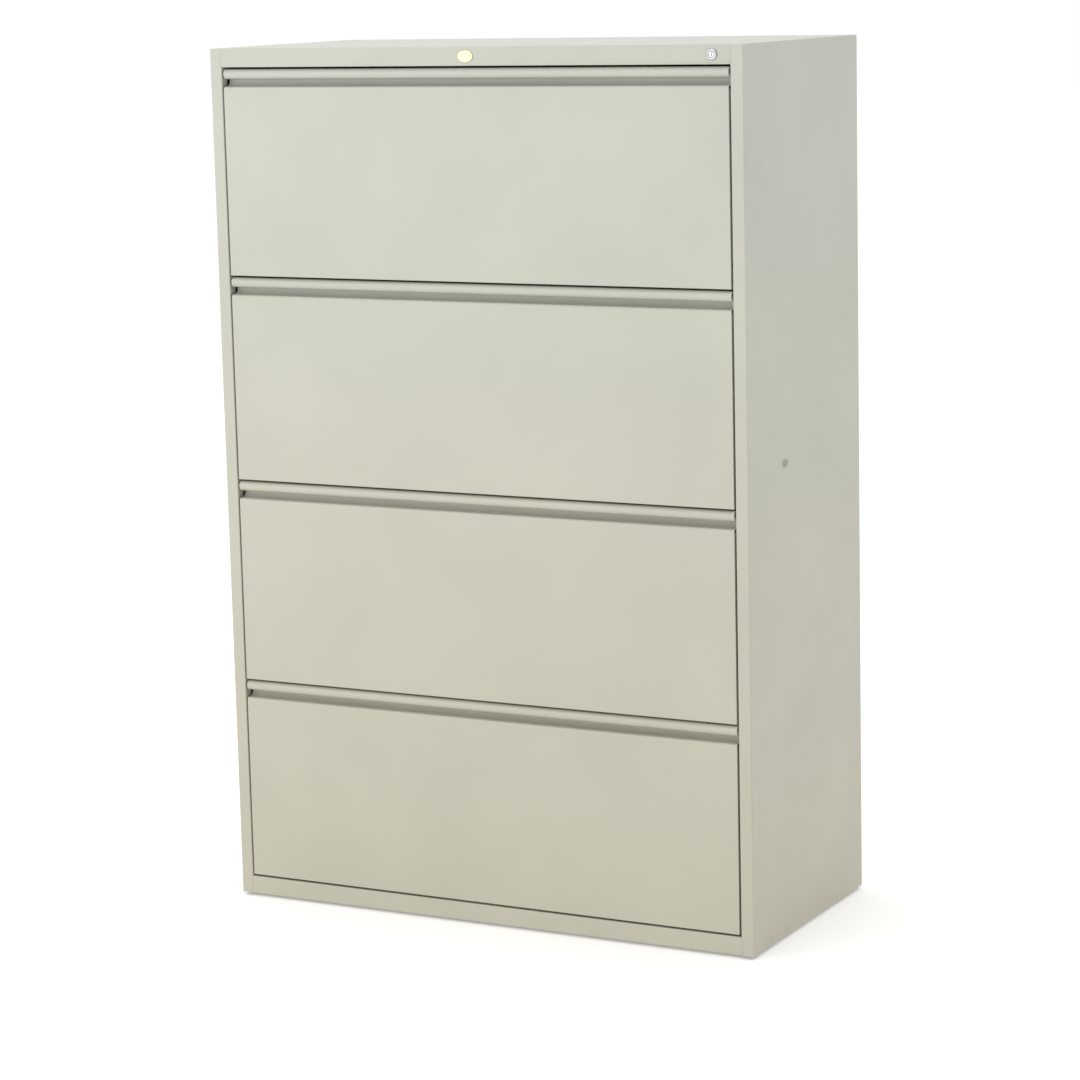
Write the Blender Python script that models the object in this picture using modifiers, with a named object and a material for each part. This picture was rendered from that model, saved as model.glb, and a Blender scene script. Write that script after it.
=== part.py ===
"""Four-drawer lateral filing cabinet in folded sheet steel.

The case stands on z = 0 with its front facing -Y, and is centred on the Z axis.
Drawer 1 is the top one. Each drawer runs on two three-member slides, and a lock in the
header lowers a toothed bar in front of a catch on every drawer.
Run it with blender --background --python part.py, or from the text editor.
"""

import math

import bmesh
import bpy
from mathutils import Matrix, Vector

# Overall size, metres.
WIDTH = 0.9144
DEPTH = 0.4318
HEIGHT = 1.3716
DRAWERS = 4

# Clearances.
JOIN = 0.0003  # between pieces that are welded, screwed or resting on each other
REVEAL = 0.003  # visible gap round every drawer front
RUNNING = 0.0006  # between the nested members of a slide

# Case.
CASE_SHEET = 0.0012
BACK_SHEET = 0.001
FOLD = 0.0004  # inner radius of a fold
STILE = 0.0205  # visible width of the case's front edge at each side
STILE_RETURN = 0.016
BACK_FLANGE = 0.018
HEADER = 0.029
RAIL_DEPTH = 0.018  # how far the header and the base rail fold back
RAIL_LIP = 0.005  # and up or down again at the back
BASE_RAIL = 0.029
TOP_FLANGE = 0.005

# Levelling glides, on which the case stands.
GLIDE_DROP = 0.005  # the case's lower edge above the floor
GLIDE_RADIUS = 0.015
STEM_RADIUS = 0.0048
STEM_RISE = 0.010  # stem above the base pan
NUT_RADIUS = 0.0085
NUT_HEIGHT = 0.006
GLIDE_INSET = 0.055  # stem from the case's side and from its front and back

# Counterweight plate.
WEIGHT_WIDTH = 0.70
WEIGHT_DEPTH = 0.26
WEIGHT_THICKNESS = 0.010
WEIGHT_INSET = 0.035  # from the case's back

# Slides: height of the outer channel, sheet, and how far the members nest.
SLIDE_HEIGHT = 0.045
SLIDE_SHEET = 0.0012
SLIDE_WIDTH = 0.0126
SLIDE_STEP = 0.0037  # front end behind the front upright's face
SLIDE_END = 0.012  # back end in front of the case's back
SLIDE_LEVEL = 0.095  # centre line above the drawer front's lower edge
STILE_CLEARANCE = 0.001  # moving members to the stile they pass

# Uprights.
UPRIGHT_WIDTH = 0.025
SLOT_HEIGHT = 0.014
SLOT_WIDTH = 0.003
SLOT_OFFSET = 0.014  # slots above and below each slide's centre line

# Drawer front with its full-width pull.
LIP_RADIUS = 0.0078
LIP_CURL = 5.0  # degrees past the bottom of the lip
GROOVE = 0.0175  # back wall of the finger recess behind the front
LEDGE_BACK = 0.0255  # floor of the recess below the top edge, at its back
LEDGE_FRONT = 0.0275  # and at the front
PAN_STEP = 0.0013  # bottom fold behind the recess's back wall
PAN_RETURN = 0.030
END_PLATE_INSET = 0.0002

# Drawer body and hanging rail.
BODY_SHEET = 0.001
BODY_LIFT = 0.014  # body's underside above the front's lower edge
BODY_HEADROOM = 0.0644  # side and back walls below the front's top edge
BODY_FRONT_DROP = 0.030  # the taller front wall below the same edge
GUSSET = 0.034
BODY_BACK = 0.024  # back wall in front of the case's back
HANG_RAIL_BACK = 0.0695  # rail from the back wall: 318 mm span, for letter-size folders
RAIL_WIDTH = 0.010
RAIL_HEIGHT = 0.016

# Lock.
LOCK_INSET = 0.049  # axis from the case's right side
LOCK_PROUD = 0.003
LOCK_FLANGE_RADIUS = 0.008
BARREL_RADIUS = 0.0065
BARREL_STEP = 0.0016  # barrel's end in front of the cam
PLUG_RADIUS = 0.0044
KEYWAY_WIDTH = 0.0012
KEYWAY_HEIGHT = 0.0056
KEYWAY_DEPTH = 0.006
LOCK_NUT_FLATS = 0.0162
LOCK_NUT_THICKNESS = 0.0025
STUD_RADIUS = 0.0025
CAM_THROW = 0.008
CAM_SHEET = 0.002
CAM_HUB = 0.0058
CAM_END = 0.0032
PIN_RADIUS = 0.0015
BAR_SHEET = 0.002
BAR_STEP = 0.002  # bar behind the drawer fronts
BAR_WIDTH = 0.012
BAR_STILE_GAP = 0.0028  # bar outside the drawer opening
BAR_TAIL = 0.030
TOOTH_HEIGHT = 0.008
TOOTH_LIFT = 0.002  # open tooth above the catch
CATCH_GAP = 0.0015  # tooth to catch
CATCH_DEPTH = 0.0025
CATCH_DROP = 0.044  # top of the catch below the body's side walls
TOOTH_END = 0.0077  # end of a tooth outside the drawer body

# Blank oval badge on the header.
BADGE_WIDTH = 0.026
BADGE_HEIGHT = 0.018
BADGE_THICKNESS = 0.0014

OVERCUT = 0.003  # how far a cutter runs past what it cuts

# Places that follow from the sizes above.
BEND = CASE_SHEET + FOLD
FRONT = (LOCK_PROUD - DEPTH) / 2
BACK = FRONT + DEPTH
OPENING_HALF = WIDTH / 2 - STILE
CASE_BOTTOM = GLIDE_DROP
BASE_TOP = GLIDE_DROP + BASE_RAIL
OPENING_TOP = HEIGHT - HEADER
PITCH = (OPENING_TOP - BASE_TOP - REVEAL) / DRAWERS
FRONT_HEIGHT = PITCH - REVEAL
FRONT_HALF = OPENING_HALF - REVEAL
SIDE_INNER = WIDTH / 2 - CASE_SHEET - JOIN
SLIDE_OUTER = OPENING_HALF - STILE_CLEARANCE + RUNNING + SLIDE_SHEET
BODY_HALF = SLIDE_OUTER - SLIDE_WIDTH - JOIN
PAN_DEPTH = GROOVE + CASE_SHEET + PAN_STEP
BODY_Y = PAN_DEPTH + JOIN
BODY_LENGTH = DEPTH - BODY_BACK - BODY_Y
BODY_HEIGHT = FRONT_HEIGHT - BODY_HEADROOM - BODY_LIFT
CATCH_LEVEL = BODY_LIFT + BODY_HEIGHT - CATCH_DROP
LOCK_X = WIDTH / 2 - LOCK_INSET
LOCK_Z = HEIGHT - HEADER / 2
BAR_SETBACK = PAN_DEPTH + BAR_STEP
BAR_INNER = OPENING_HALF + BAR_STILE_GAP
CAM_SETBACK = BAR_SETBACK - CAM_SHEET - 2 * JOIN
BARREL_LENGTH = CAM_SETBACK - BARREL_STEP
UPRIGHT_FRONT = BAR_SETBACK + BAR_SHEET + JOIN
SLIDE_SETBACK = UPRIGHT_FRONT + SLIDE_STEP
CATCH_REACH = OPENING_HALF - STILE_CLEARANCE

# Finishes: colour, roughness, metallic.
PAINT = ((0.62, 0.61, 0.54), 0.45, 0.0)
ZINC = ((0.62, 0.63, 0.62), 0.35, 1.0)
CHROME = ((0.80, 0.80, 0.80), 0.12, 1.0)
BRASS = ((0.85, 0.80, 0.58), 0.25, 1.0)
RAW_STEEL = ((0.25, 0.25, 0.25), 0.55, 1.0)
NYLON = ((0.05, 0.05, 0.05), 0.50, 0.0)

for old in list(bpy.data.objects):
    bpy.data.objects.remove(old, do_unlink=True)

parts = bpy.data.collections.new("filing_cabinet")
cutters = bpy.data.collections.new("cutters")
bpy.context.scene.collection.children.link(parts)
bpy.context.scene.collection.children.link(cutters)


def in_plane(a, b, c, along):
    """The point of section coordinates (a, b) at c along an axis: (y, z), (z, x) or (x, y)."""
    return {"X": Vector((c, a, b)), "Y": Vector((b, c, a)), "Z": Vector((a, b, c))}[along]


def rounded(corners, radius, steps=3):
    """The line through corners (a, b) or (a, b, own radius) with an arc at each inner one."""
    line = [Vector(corners[0][:2])]
    for before, corner, after in zip(corners, corners[1:], corners[2:]):
        bend = corner[2] if len(corner) > 2 else radius
        point = Vector(corner[:2])
        inward = (Vector(before[:2]) - point).normalized()
        outward = (Vector(after[:2]) - point).normalized()
        half = inward.angle(outward) / 2
        centre = point + (inward + outward).normalized() * bend / math.sin(half)
        start = point + inward * bend / math.tan(half) - centre
        turn = start.angle_signed(point + outward * bend / math.tan(half) - centre)
        for step in range(steps + 1):
            line.append(centre + Matrix.Rotation(-turn * step / steps, 2) @ start)
    line.append(Vector(corners[-1][:2]))
    return line


def arc(centre, radius, first, last, steps):
    """Points on a circle from one angle to another, in degrees."""
    angles = [math.radians(first + (last - first) * i / steps) for i in range(steps + 1)]
    return [Vector(centre) + radius * Vector((math.cos(t), math.sin(t))) for t in angles]


def mirrored(line):
    """The line on the other side of the cabinet, with its thickness still on the left."""
    return [Vector((-p[0], p[1])) for p in reversed(line)]


def add_object(name, mesh, finish, parent=None):
    """An object for one sub-part, with its own material, or a cutter when it has no finish."""
    obj = bpy.data.objects.new(name, mesh)
    obj.parent = parent
    if finish is None:
        obj.hide_render = True
        obj.display_type = "WIRE"
        cutters.objects.link(obj)
        return obj
    parts.objects.link(obj)
    colour, roughness, metallic = finish
    material = bpy.data.materials.new(name)
    material.use_nodes = True
    shader = material.node_tree.nodes["Principled BSDF"]
    shader.inputs["Base Color"].default_value = (*colour, 1.0)
    shader.inputs["Roughness"].default_value = roughness
    shader.inputs["Metallic"].default_value = metallic
    mesh.materials.append(material)
    return obj


def mesh_from(bm, name):
    mesh = bpy.data.meshes.new(name)
    bm.to_mesh(mesh)
    bm.free()
    return mesh


def folded_strip(name, line, along, start, end, sheet, finish, parent=None):
    """Folded sheet of one section, running along an axis.

    The line is one face of the sheet, and the thickness lies to the left of its direction.
    """
    bm = bmesh.new()
    verts = [bm.verts.new(in_plane(a, b, start, along)) for a, b in line]
    edges = [bm.edges.new(pair) for pair in zip(verts, verts[1:])]
    swept = bmesh.ops.extrude_edge_only(bm, edges=edges)["geom"]
    moved = [item for item in swept if isinstance(item, bmesh.types.BMVert)]
    direction = in_plane(0.0, 0.0, 1.0, along)
    bmesh.ops.translate(bm, verts=moved, vec=direction * (end - start))
    bm.normal_update()
    bm.faces.ensure_lookup_table()
    first = (verts[1].co - verts[0].co).cross(direction)
    face = verts[0].link_faces[0]
    if face.normal.dot(first) < 0:
        bmesh.ops.reverse_faces(bm, faces=bm.faces)
    obj = add_object(name, mesh_from(bm, name), finish, parent)
    solidify = obj.modifiers.new("sheet", "SOLIDIFY")
    solidify.thickness = sheet
    solidify.offset = -1.0
    solidify.use_even_offset = True
    return obj


def plate(name, outlines, along, start, end, finish, parent=None):
    """A flat plate between two places on an axis. The first outline is its rim, others are holes."""
    curve = bpy.data.curves.new(name, "CURVE")
    curve.dimensions = "2D"
    curve.fill_mode = "BOTH"
    curve.extrude = abs(end - start) / 2
    for outline in outlines:
        spline = curve.splines.new("POLY")
        spline.points.add(len(outline) - 1)
        for point, (a, b) in zip(spline.points, outline):
            point.co = (a, b, 0.0, 1.0)
        spline.use_cyclic_u = True
    flat = bpy.data.objects.new(name + "_outline", curve)
    cutters.objects.link(flat)
    bpy.context.view_layer.update()
    evaluated = flat.evaluated_get(bpy.context.evaluated_depsgraph_get())
    mesh = bpy.data.meshes.new_from_object(evaluated)
    bpy.data.objects.remove(flat, do_unlink=True)
    bpy.data.curves.remove(curve)
    bm = bmesh.new()
    bm.from_mesh(mesh)
    bmesh.ops.remove_doubles(bm, verts=bm.verts, dist=0.000001)
    columns = [in_plane(1, 0, 0, along), in_plane(0, 1, 0, along), in_plane(0, 0, 1, along)]
    turn = Matrix(columns).transposed().to_4x4()
    turn.translation = in_plane(0.0, 0.0, (start + end) / 2, along)
    bmesh.ops.transform(bm, matrix=turn, verts=bm.verts)
    bm.to_mesh(mesh)
    bm.free()
    mesh.name = name
    return add_object(name, mesh, finish, parent)


def box(name, low, high, finish, parent=None, bevel=0.0):
    """A box between two corners, with its edges rounded when a bevel is given."""
    low, high = Vector(low), Vector(high)
    bm = bmesh.new()
    bmesh.ops.create_cube(bm, size=1.0)
    bmesh.ops.scale(bm, vec=high - low, verts=bm.verts)
    bmesh.ops.translate(bm, vec=(low + high) / 2, verts=bm.verts)
    obj = add_object(name, mesh_from(bm, name), finish, parent)
    if bevel:
        edge = obj.modifiers.new("edges", "BEVEL")
        edge.width = bevel
        edge.segments = 2
    return obj


def open_box(name, low, high, sheet, missing, finish, parent=None, shape=None):
    """A welded box of sheet metal without its top (+1) or its bottom (-1)."""
    low, high = Vector(low), Vector(high)
    bm = bmesh.new()
    bmesh.ops.create_cube(bm, size=1.0)
    bmesh.ops.scale(bm, vec=high - low, verts=bm.verts)
    bmesh.ops.translate(bm, vec=(low + high) / 2, verts=bm.verts)
    lid = [face for face in bm.faces if face.normal.z * missing > 0.9]
    bmesh.ops.delete(bm, geom=lid, context="FACES_ONLY")
    if shape:
        shape(bm)
    obj = add_object(name, mesh_from(bm, name), finish, parent)
    folds = obj.modifiers.new("folds", "BEVEL")
    folds.width = BEND
    folds.segments = 2
    solidify = obj.modifiers.new("sheet", "SOLIDIFY")
    solidify.thickness = sheet
    solidify.offset = -1.0
    solidify.use_even_offset = True
    return obj


def turned(name, profile, steps, finish, place, ring=False, parent=None):
    """A turned piece. The profile's (radius, height) points run down its outer side."""
    bm = bmesh.new()
    verts = [bm.verts.new((radius, 0.0, height)) for radius, height in profile]
    for pair in zip(verts, verts[1:]):
        bm.edges.new(pair)
    if ring:
        bm.edges.new((verts[-1], verts[0]))
    obj = add_object(name, mesh_from(bm, name), finish, parent)
    obj.matrix_local = place
    screw = obj.modifiers.new("turned", "SCREW")
    screw.steps = steps
    screw.render_steps = steps
    screw.use_merge_vertices = True
    screw.merge_threshold = 0.00001
    screw.use_smooth_shade = True
    return obj


def cylinder(name, radius, along, centre, start, end, steps, finish=None, parent=None):
    """A round bar or a round cutter along an axis, round a point (a, b) of the section."""
    bm = bmesh.new()
    bmesh.ops.create_cone(
        bm, cap_ends=True, segments=steps, radius1=radius, radius2=radius, depth=end - start
    )
    columns = [in_plane(1, 0, 0, along), in_plane(0, 1, 0, along), in_plane(0, 0, 1, along)]
    turn = Matrix(columns).transposed().to_4x4()
    turn.translation = in_plane(centre[0], centre[1], (start + end) / 2, along)
    bmesh.ops.transform(bm, matrix=turn, verts=bm.verts)
    return add_object(name, mesh_from(bm, name), finish, parent)


def combine(obj, other, operation):
    """Cuts the other object out of obj, or joins it on."""
    boolean = obj.modifiers.new(other.name, "BOOLEAN")
    boolean.operation = operation
    boolean.solver = "EXACT"
    boolean.object = other


def joint_empty(name, place):
    """The origin of a moving body, on its joint's axis."""
    empty = bpy.data.objects.new(name, None)
    empty.location = place
    parts.objects.link(empty)
    bpy.context.view_layer.update()
    return empty


def facing_front(x, y, z):
    """Turns a turned piece so that its own up points to the front."""
    return Matrix.Translation((x, y, z)) @ Matrix.Rotation(math.pi / 2, 4, "X")


def drawer_bottom(number):
    """Lower edge of a drawer front above the floor. Number 1 is the top drawer."""
    return BASE_TOP + REVEAL + (DRAWERS - number) * PITCH


def make_case_sides():
    """Side panels, each folded round the front into a stile and round the back into a flange."""
    line = rounded(
        [
            (OPENING_HALF, FRONT + STILE_RETURN),
            (OPENING_HALF, FRONT),
            (WIDTH / 2, FRONT),
            (WIDTH / 2, BACK),
            (WIDTH / 2 - BACK_FLANGE, BACK),
        ],
        BEND,
    )
    for side, section in (("left", mirrored(line)), ("right", line)):
        panel = folded_strip(
            f"case_{side}_side", section, "Z", CASE_BOTTOM, HEIGHT, CASE_SHEET, PAINT
        )
        sign = -1 if side == "left" else 1
        reach = sorted((sign * (OPENING_HALF - OVERCUT), sign * (WIDTH / 2 - CASE_SHEET * 1.5)))
        notch = box(
            f"{side}_stile_notch",
            (reach[0], FRONT + CASE_SHEET, HEIGHT - TOP_FLANGE - JOIN),
            (reach[1], FRONT + STILE_RETURN + OVERCUT, HEIGHT + OVERCUT),
            None,
        )
        combine(panel, notch, "DIFFERENCE")


def make_case_top():
    """Top pan, set between the sides, the header and the back flanges, clear of the lock's nut."""
    top = open_box(
        "case_top",
        (-SIDE_INNER, FRONT + CASE_SHEET + JOIN, HEIGHT - TOP_FLANGE),
        (SIDE_INNER, BACK - CASE_SHEET - JOIN, HEIGHT),
        CASE_SHEET,
        -1,
        PAINT,
    )
    low = HEIGHT - TOP_FLANGE - OVERCUT
    high = LOCK_Z + LOCK_NUT_FLATS / 2 + JOIN
    if high > HEIGHT - TOP_FLANGE:
        relief = box(
            "lock_relief",
            (LOCK_X - LOCK_NUT_FLATS, FRONT, low),
            (LOCK_X + LOCK_NUT_FLATS, FRONT + RAIL_DEPTH, high),
            None,
        )
        combine(top, relief, "DIFFERENCE")


def make_case_back():
    """Back panel, welded inside the side panels' back flanges and below the top pan."""
    outer = BACK - CASE_SHEET - JOIN
    box(
        "case_back",
        (-SIDE_INNER, outer - BACK_SHEET, CASE_BOTTOM),
        (SIDE_INNER, outer, HEIGHT - TOP_FLANGE - JOIN),
        PAINT,
    )


def make_header():
    """Header rail between the stiles, with the hole for the lock."""
    line = rounded(
        [
            (FRONT, HEIGHT),
            (FRONT, OPENING_TOP),
            (FRONT + RAIL_DEPTH, OPENING_TOP),
            (FRONT + RAIL_DEPTH, OPENING_TOP + RAIL_LIP),
        ],
        BEND,
    )
    half = OPENING_HALF - JOIN
    header = folded_strip("header_rail", line, "X", -half, half, CASE_SHEET, PAINT)
    hole = cylinder(
        "lock_hole", BARREL_RADIUS + JOIN, "Y", (LOCK_Z, LOCK_X), FRONT - OVERCUT, FRONT + OVERCUT, 32
    )
    combine(header, hole, "DIFFERENCE")


def make_base():
    """Base rail between the stiles, and the base pan behind it."""
    line = rounded(
        [
            (FRONT + RAIL_DEPTH, BASE_TOP - RAIL_LIP),
            (FRONT + RAIL_DEPTH, BASE_TOP),
            (FRONT, BASE_TOP),
            (FRONT, CASE_BOTTOM),
            (FRONT + RAIL_DEPTH / 2, CASE_BOTTOM),
        ],
        BEND,
    )
    half = OPENING_HALF - JOIN
    folded_strip("base_rail", line, "X", -half, half, CASE_SHEET, PAINT)
    back = BACK - CASE_SHEET - BACK_SHEET - 2 * JOIN
    pan = open_box(
        "base_pan",
        (-SIDE_INNER, FRONT + RAIL_DEPTH + JOIN, CASE_BOTTOM),
        (SIDE_INNER, back, BASE_TOP),
        CASE_SHEET,
        -1,
        PAINT,
    )
    for name, x, y in glide_places():
        hole = cylinder(
            f"{name}_hole", STEM_RADIUS + JOIN, "Z", (x, y), BASE_TOP - OVERCUT, BASE_TOP + OVERCUT, 24
        )
        combine(pan, hole, "DIFFERENCE")


def glide_places():
    """Name and place of each levelling glide."""
    places = []
    for end, y in (("front", FRONT + GLIDE_INSET), ("rear", BACK - GLIDE_INSET)):
        for side, sign in (("left", -1), ("right", 1)):
            places.append((f"{end}_{side}_glide", sign * (WIDTH / 2 - GLIDE_INSET), y))
    return places


def make_glides():
    """Levelling glides: a foot, a threaded stem and a nut that carries the base pan."""
    nut_top = BASE_TOP - CASE_SHEET - JOIN
    profile = [
        (0.0, BASE_TOP + STEM_RISE),
        (STEM_RADIUS - 0.0006, BASE_TOP + STEM_RISE),
        (STEM_RADIUS, BASE_TOP + STEM_RISE - 0.0006),
        (STEM_RADIUS, nut_top),
        (NUT_RADIUS, nut_top),
        (NUT_RADIUS, nut_top - NUT_HEIGHT),
        (STEM_RADIUS, nut_top - NUT_HEIGHT),
        (STEM_RADIUS, GLIDE_DROP * 1.6),
        (GLIDE_RADIUS * 0.8, GLIDE_DROP * 0.9),
        (GLIDE_RADIUS, GLIDE_DROP * 0.6),
        (GLIDE_RADIUS, GLIDE_DROP * 0.2),
        (GLIDE_RADIUS - GLIDE_DROP * 0.2, 0.0),
        (0.0, 0.0),
    ]
    for name, x, y in glide_places():
        turned(name, profile, 20, NYLON, Matrix.Translation((x, y, 0.0)))


def make_counterweight():
    """Steel plate on the base pan that keeps the case from tipping when a drawer is open."""
    back = BACK - WEIGHT_INSET
    box(
        "counterweight",
        (-WEIGHT_WIDTH / 2, back - WEIGHT_DEPTH, BASE_TOP + JOIN),
        (WEIGHT_WIDTH / 2, back, BASE_TOP + JOIN + WEIGHT_THICKNESS),
        RAW_STEEL,
        bevel=0.001,
    )


def make_uprights():
    """Slotted channels that carry the slides, two on each side."""
    inner = SLIDE_OUTER + JOIN
    rear = DEPTH - SLIDE_END - UPRIGHT_WIDTH
    for end, setback in (("front", UPRIGHT_FRONT), ("rear", rear)):
        y = FRONT + setback
        line = rounded(
            [
                (SIDE_INNER, y + UPRIGHT_WIDTH),
                (inner, y + UPRIGHT_WIDTH),
                (inner, y),
                (SIDE_INNER, y),
            ],
            BEND,
        )
        for side, sign in (("left", -1), ("right", 1)):
            name = f"{end}_{side}_upright"
            section = mirrored(line) if side == "left" else line
            upright = folded_strip(
                name,
                section,
                "Z",
                BASE_TOP + JOIN,
                HEIGHT - TOP_FLANGE - JOIN,
                CASE_SHEET,
                ZINC,
            )
            combine(upright, make_slots(name, sign * inner, y + UPRIGHT_WIDTH / 2), "DIFFERENCE")


def make_slots(name, x, y):
    """Cutter for the pairs of slots in one upright's web, a pair for each slide."""
    bm = bmesh.new()
    for number in range(1, DRAWERS + 1):
        for offset in (-SLOT_OFFSET, SLOT_OFFSET):
            made = bmesh.ops.create_cube(bm, size=1.0)["verts"]
            bmesh.ops.scale(bm, vec=(CASE_SHEET * 4, SLOT_WIDTH, SLOT_HEIGHT), verts=made)
            level = drawer_bottom(number) + SLIDE_LEVEL + offset
            bmesh.ops.translate(bm, vec=(x, y, level), verts=made)
    return add_object(f"{name}_slots", mesh_from(bm, f"{name}_slots"), None)


def slide_channel(web, lip, half_height):
    """Section of a slide member: (z, x) line of a channel with its web and lips at two x."""
    corners = [(half_height, lip), (half_height, web), (-half_height, web), (-half_height, lip)]
    if web < lip:
        corners.reverse()
    return rounded(corners, SLIDE_SHEET * 1.5, 2)


def make_slides(number, middle_empty, drawer_empty):
    """Both slides of a drawer: cabinet, middle and drawer members, nested with running gaps."""
    step = SLIDE_SHEET + RUNNING
    half = SLIDE_HEIGHT / 2
    level = drawer_bottom(number) + SLIDE_LEVEL
    length = DEPTH - SLIDE_SETBACK - SLIDE_END
    for side, sign in (("left", -1), ("right", 1)):
        outer = sign * SLIDE_OUTER
        inward = -sign
        cabinet = folded_strip(
            f"drawer_{number}_{side}_cabinet_slide",
            slide_channel(outer, outer + inward * (SLIDE_WIDTH - 2 * step), half),
            "Y",
            0.0,
            length,
            SLIDE_SHEET,
            ZINC,
        )
        cabinet.location = (0.0, FRONT + SLIDE_SETBACK, level)
        middle = folded_strip(
            f"drawer_{number}_{side}_middle_slide",
            slide_channel(outer + inward * step, outer + inward * (SLIDE_WIDTH - step), half - step),
            "Y",
            0.0,
            length,
            SLIDE_SHEET,
            ZINC,
            middle_empty,
        )
        middle.location = (0.0, SLIDE_SETBACK, SLIDE_LEVEL)
        web = outer + inward * SLIDE_WIDTH
        drawer = folded_strip(
            f"drawer_{number}_{side}_drawer_slide",
            slide_channel(web, outer + inward * 2 * step, half - 2 * step),
            "Y",
            0.0,
            length - JOIN,
            SLIDE_SHEET,
            ZINC,
            drawer_empty,
        )
        drawer.location = (0.0, SLIDE_SETBACK, SLIDE_LEVEL)


def pull_line():
    """Section of a drawer front: curled lip, finger recess, flat face and folded bottom."""
    centre = (LIP_RADIUS, FRONT_HEIGHT - LIP_RADIUS)
    lip = arc(centre, LIP_RADIUS - CASE_SHEET, 270.0 + LIP_CURL, 90.0, 10)
    rest = rounded(
        [
            lip[-1],
            (GROOVE, FRONT_HEIGHT - CASE_SHEET, BEND),
            (GROOVE, FRONT_HEIGHT - LEDGE_BACK, LIP_RADIUS),
            (0.0, FRONT_HEIGHT - LEDGE_FRONT, LIP_RADIUS / 2),
            (0.0, 0.0, BEND),
            (PAN_DEPTH, 0.0, BEND),
            (PAN_DEPTH, PAN_RETURN),
        ],
        BEND,
        4,
    )
    return lip + rest[1:]


def make_front(number, empty):
    """Drawer front: one folded sheet with its full-width pull, and a plate at each end."""
    front = folded_strip(
        f"drawer_{number}_front",
        pull_line(),
        "X",
        -FRONT_HALF,
        FRONT_HALF,
        CASE_SHEET,
        PAINT,
        empty,
    )
    inset = CASE_SHEET / 2
    top = FRONT_HEIGHT - LEDGE_FRONT - LIP_RADIUS / 2
    for side, sign in (("left", -1), ("right", 1)):
        outer = FRONT_HALF - END_PLATE_INSET
        reach = sorted((sign * outer, sign * (outer - CASE_SHEET)))
        end_plate = box(
            f"drawer_{number}_front_{side}_end",
            (reach[0], inset, inset),
            (reach[1], PAN_DEPTH - inset, top),
            None,
            empty,
        )
        combine(front, end_plate, "UNION")


def raise_front_wall(bm):
    """Makes the body's front wall taller, with a gusset down to each side wall."""
    bmesh.ops.bisect_plane(
        bm,
        geom=bm.verts[:] + bm.edges[:] + bm.faces[:],
        plane_co=(0.0, BODY_Y + GUSSET, 0.0),
        plane_no=(0.0, 1.0, 0.0),
    )
    wall_top = BODY_LIFT + BODY_HEIGHT
    for vert in bm.verts:
        if vert.co.y < BODY_Y + GUSSET / 2 and vert.co.z > wall_top - GUSSET / 2:
            vert.co.z = FRONT_HEIGHT - BODY_FRONT_DROP


def make_body(number, empty):
    """Drawer body: an open box of sheet steel, with the catch for the lock on its right side."""
    body = open_box(
        f"drawer_{number}_body",
        (-BODY_HALF, BODY_Y, BODY_LIFT),
        (BODY_HALF, BODY_Y + BODY_LENGTH, BODY_LIFT + BODY_HEIGHT),
        BODY_SHEET,
        1,
        PAINT,
        empty,
        raise_front_wall,
    )
    catch_y = BAR_SETBACK + BAR_SHEET + CATCH_GAP
    catch = box(
        f"drawer_{number}_catch",
        (BODY_HALF - BODY_SHEET / 2, catch_y, CATCH_LEVEL - TOOTH_HEIGHT),
        (CATCH_REACH, catch_y + CATCH_DEPTH, CATCH_LEVEL),
        None,
        empty,
    )
    combine(body, catch, "UNION")


def make_hang_rail(number, empty):
    """Cross rail for hanging folders, held between the body's side walls."""
    y = BODY_Y + BODY_LENGTH - HANG_RAIL_BACK
    top = BODY_LIFT + BODY_HEIGHT
    line = rounded(
        [
            (y + RAIL_WIDTH / 2, top - RAIL_HEIGHT),
            (y + RAIL_WIDTH / 2, top),
            (y - RAIL_WIDTH / 2, top),
            (y - RAIL_WIDTH / 2, top - RAIL_HEIGHT),
        ],
        BEND,
        2,
    )
    half = BODY_HALF - BODY_SHEET - JOIN
    name = f"drawer_{number}_hang_rail"
    folded_strip(name, line, "X", -half, half, BODY_SHEET, ZINC, empty)


def make_lock_cylinder():
    """Lock cylinder with its domed flange, and the nut that holds it in the header."""
    bore = PLUG_RADIUS + JOIN
    profile = [
        (bore, LOCK_PROUD),
        (LOCK_FLANGE_RADIUS - 0.0016, LOCK_PROUD),
        (LOCK_FLANGE_RADIUS - 0.0005, LOCK_PROUD - 0.0007),
        (LOCK_FLANGE_RADIUS, LOCK_PROUD - 0.0016),
        (LOCK_FLANGE_RADIUS, JOIN),
        (BARREL_RADIUS, JOIN),
        (BARREL_RADIUS, -BARREL_LENGTH),
        (bore, -BARREL_LENGTH),
    ]
    turned("lock_cylinder", profile, 32, CHROME, facing_front(LOCK_X, FRONT, LOCK_Z), ring=True)
    corner = LOCK_NUT_FLATS / 2 / math.cos(math.pi / 6)
    hexagon = arc((LOCK_Z, LOCK_X), corner, 30.0, 330.0, 5)
    hole = arc((LOCK_Z, LOCK_X), BARREL_RADIUS + JOIN, 0.0, 360.0 - 15.0, 23)
    start = FRONT + CASE_SHEET + JOIN
    plate("lock_nut", [hexagon, hole], "Y", start, start + LOCK_NUT_THICKNESS, ZINC)


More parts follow.
